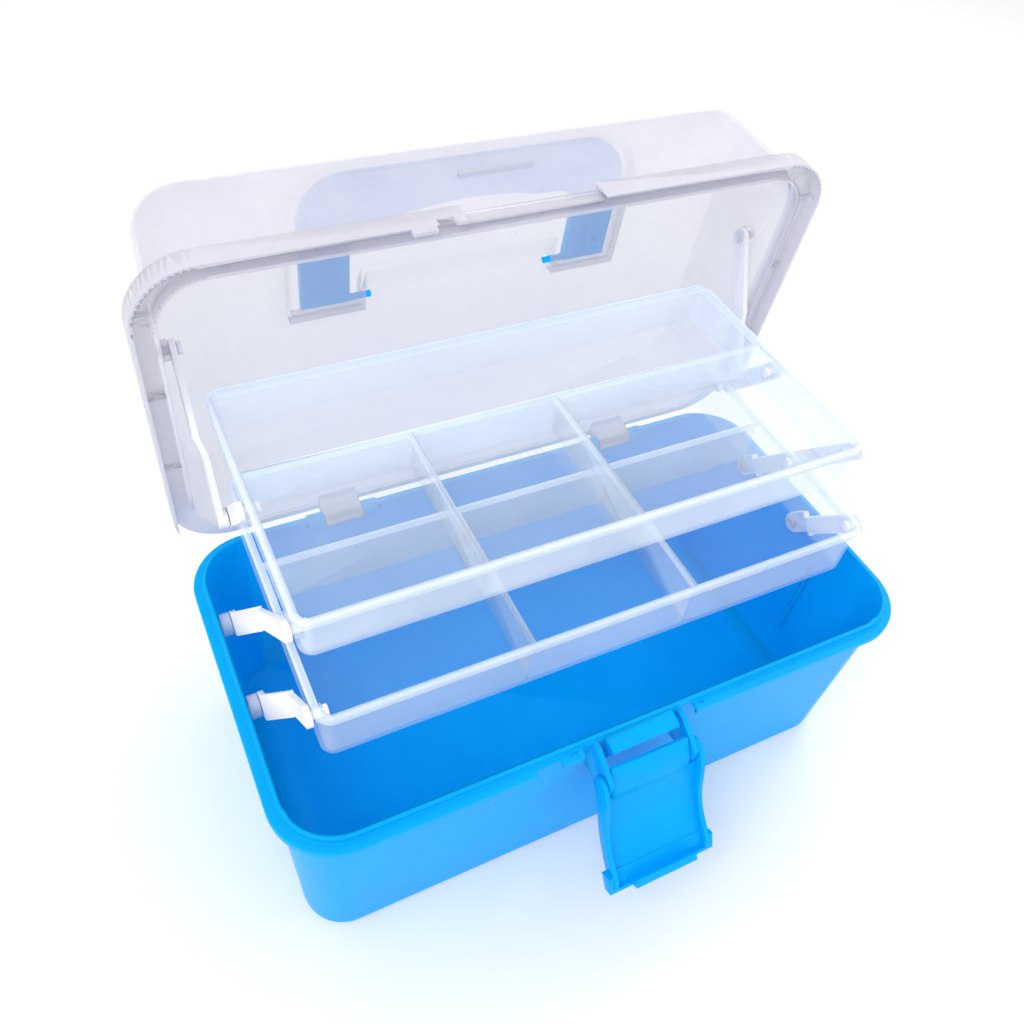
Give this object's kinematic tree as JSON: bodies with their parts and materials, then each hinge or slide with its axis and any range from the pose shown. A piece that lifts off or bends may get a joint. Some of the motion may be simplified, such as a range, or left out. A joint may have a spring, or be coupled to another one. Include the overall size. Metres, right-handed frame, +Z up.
{
  "type": "art supply box",
  "caption": "Hinged carry box shown open, with a see-through lid, folding handle, front latch and two divided trays that swing up and forward on straps.",
  "frame": {"origin": "centre of the tub's footprint, on the ground face", "axes": "+Z up, -Y towards the latch side, +X along the box's length to the right seen from the latch side; stored open"},
  "size_m": [0.32, 0.2693, 0.2735],
  "materials": {
    "tub_blue": "glossy moulded polypropylene",
    "latch_blue": "glossy moulded polypropylene",
    "handle_blue": "glossy moulded polypropylene",
    "lid_clear": "translucent natural polypropylene",
    "tray_clear": "translucent natural polypropylene",
    "strap_white": "milky white nylon",
    "pin_clear": "translucent natural polypropylene",
    "hinge_pin": "plain steel rod"
  },
  "bodies": {
    "base": {"base_tub": "tub_blue", "base_strap_pins": "pin_clear", "hinge_pins": "hinge_pin"},
    "lid": {"lid_shell": "lid_clear", "lid_strap_pins": "pin_clear"},
    "handle": {"handle": "handle_blue"},
    "latch": {"latch": "latch_blue"},
    "upper_tray": {"upper_tray": "tray_clear"},
    "lower_tray": {"lower_tray": "tray_clear"},
    "long_link_r": {"long_link_r": "strap_white"},
    "long_link_l": {"long_link_l": "strap_white"},
    "lower_link_r": {"lower_link_r": "strap_white"},
    "lower_link_l": {"lower_link_l": "strap_white"},
    "rear_strap_r": {"rear_strap_r": "strap_white"},
    "rear_strap_l": {"rear_strap_l": "strap_white"},
    "lid_link_r": {"lid_link_r": "strap_white"},
    "lid_link_l": {"lid_link_l": "strap_white"}
  },
  "joints": [
    {"name": "lid_hinge", "type": "hinge", "parent": "base", "child": "lid", "pos_m": [0, 0.0816, 0.1047], "axis": [1, 0, 0], "range_deg": [0, 84.4]},
    {"name": "latch_pivot", "type": "hinge", "parent": "base", "child": "latch", "pos_m": [-0.001, -0.0965, 0.091], "axis": [-1, 0, 0], "range_deg": [0, 156.5]},
    {"name": "handle_pivot", "type": "hinge", "parent": "lid", "child": "handle", "pos_m": [0, 0.12786, 0.20067], "axis": [-1, 0, 0], "range_deg": [0, 100]},
    {"name": "long_link_pivot_r", "type": "hinge", "parent": "base", "child": "long_link_r", "pos_m": [0.1467, 0.0401, 0.0993], "axis": [1, 0, 0], "range_deg": [0, 21.05]},
    {"name": "lower_link_pivot_r", "type": "hinge", "parent": "base", "child": "lower_link_r", "pos_m": [0.1467, -0.0065, 0.0993], "axis": [1, 0, 0], "range_deg": [0, 21.05]},
    {"name": "long_link_pivot_l", "type": "hinge", "parent": "base", "child": "long_link_l", "pos_m": [-0.1467, 0.0401, 0.0993], "axis": [1, 0, 0], "range_deg": [0, 21.05]},
    {"name": "lower_link_pivot_l", "type": "hinge", "parent": "base", "child": "lower_link_l", "pos_m": [-0.1467, -0.0065, 0.0993], "axis": [1, 0, 0], "range_deg": [0, 21.05]},
    {"name": "lower_tray_pivot", "type": "hinge", "parent": "lower_link_r", "child": "lower_tray", "pos_m": [0.1366, -0.04618, 0.14431], "axis": [1, 0, 0], "range_deg": [-21.05, 0]},
    {"name": "upper_tray_pivot", "type": "hinge", "parent": "long_link_r", "child": "upper_tray", "pos_m": [0.1366, -0.02802, 0.17656], "axis": [1, 0, 0], "range_deg": [-21.05, 0]},
    {"name": "rear_strap_pivot_r", "type": "hinge", "parent": "lower_tray", "child": "rear_strap_r", "pos_m": [0.1366, 0.0634, 0.14431], "axis": [1, 0, 0], "range_deg": [0, 21.05]},
    {"name": "rear_strap_pivot_l", "type": "hinge", "parent": "lower_tray", "child": "rear_strap_l", "pos_m": [-0.1366, 0.0634, 0.14431], "axis": [1, 0, 0], "range_deg": [0, 21.05]},
    {"name": "lid_link_pivot_r", "type": "hinge", "parent": "lid", "child": "lid_link_r", "pos_m": [0.1432, 0.09391, 0.21694], "axis": [1, 0, 0], "range_deg": [0, 27.84]},
    {"name": "lid_link_pivot_l", "type": "hinge", "parent": "lid", "child": "lid_link_l", "pos_m": [-0.1432, 0.09391, 0.21694], "axis": [1, 0, 0], "range_deg": [0, 27.84]}
  ],
  "couplings": [
    {"joint": "long_link_pivot_r", "follows": "lid_hinge", "ratio": 0.24882},
    {"joint": "lower_link_pivot_r", "follows": "lid_hinge", "ratio": 0.24882},
    {"joint": "long_link_pivot_l", "follows": "lid_hinge", "ratio": 0.24882},
    {"joint": "lower_link_pivot_l", "follows": "lid_hinge", "ratio": 0.24882},
    {"joint": "lower_tray_pivot", "follows": "lid_hinge", "ratio": -0.24882},
    {"joint": "upper_tray_pivot", "follows": "lid_hinge", "ratio": -0.24882},
    {"joint": "rear_strap_pivot_r", "follows": "lid_hinge", "ratio": 0.24882},
    {"joint": "rear_strap_pivot_l", "follows": "lid_hinge", "ratio": 0.24882},
    {"joint": "lid_link_pivot_r", "follows": "lid_hinge", "ratio": 0.32926},
    {"joint": "lid_link_pivot_l", "follows": "lid_hinge", "ratio": 0.32926}
  ]
}
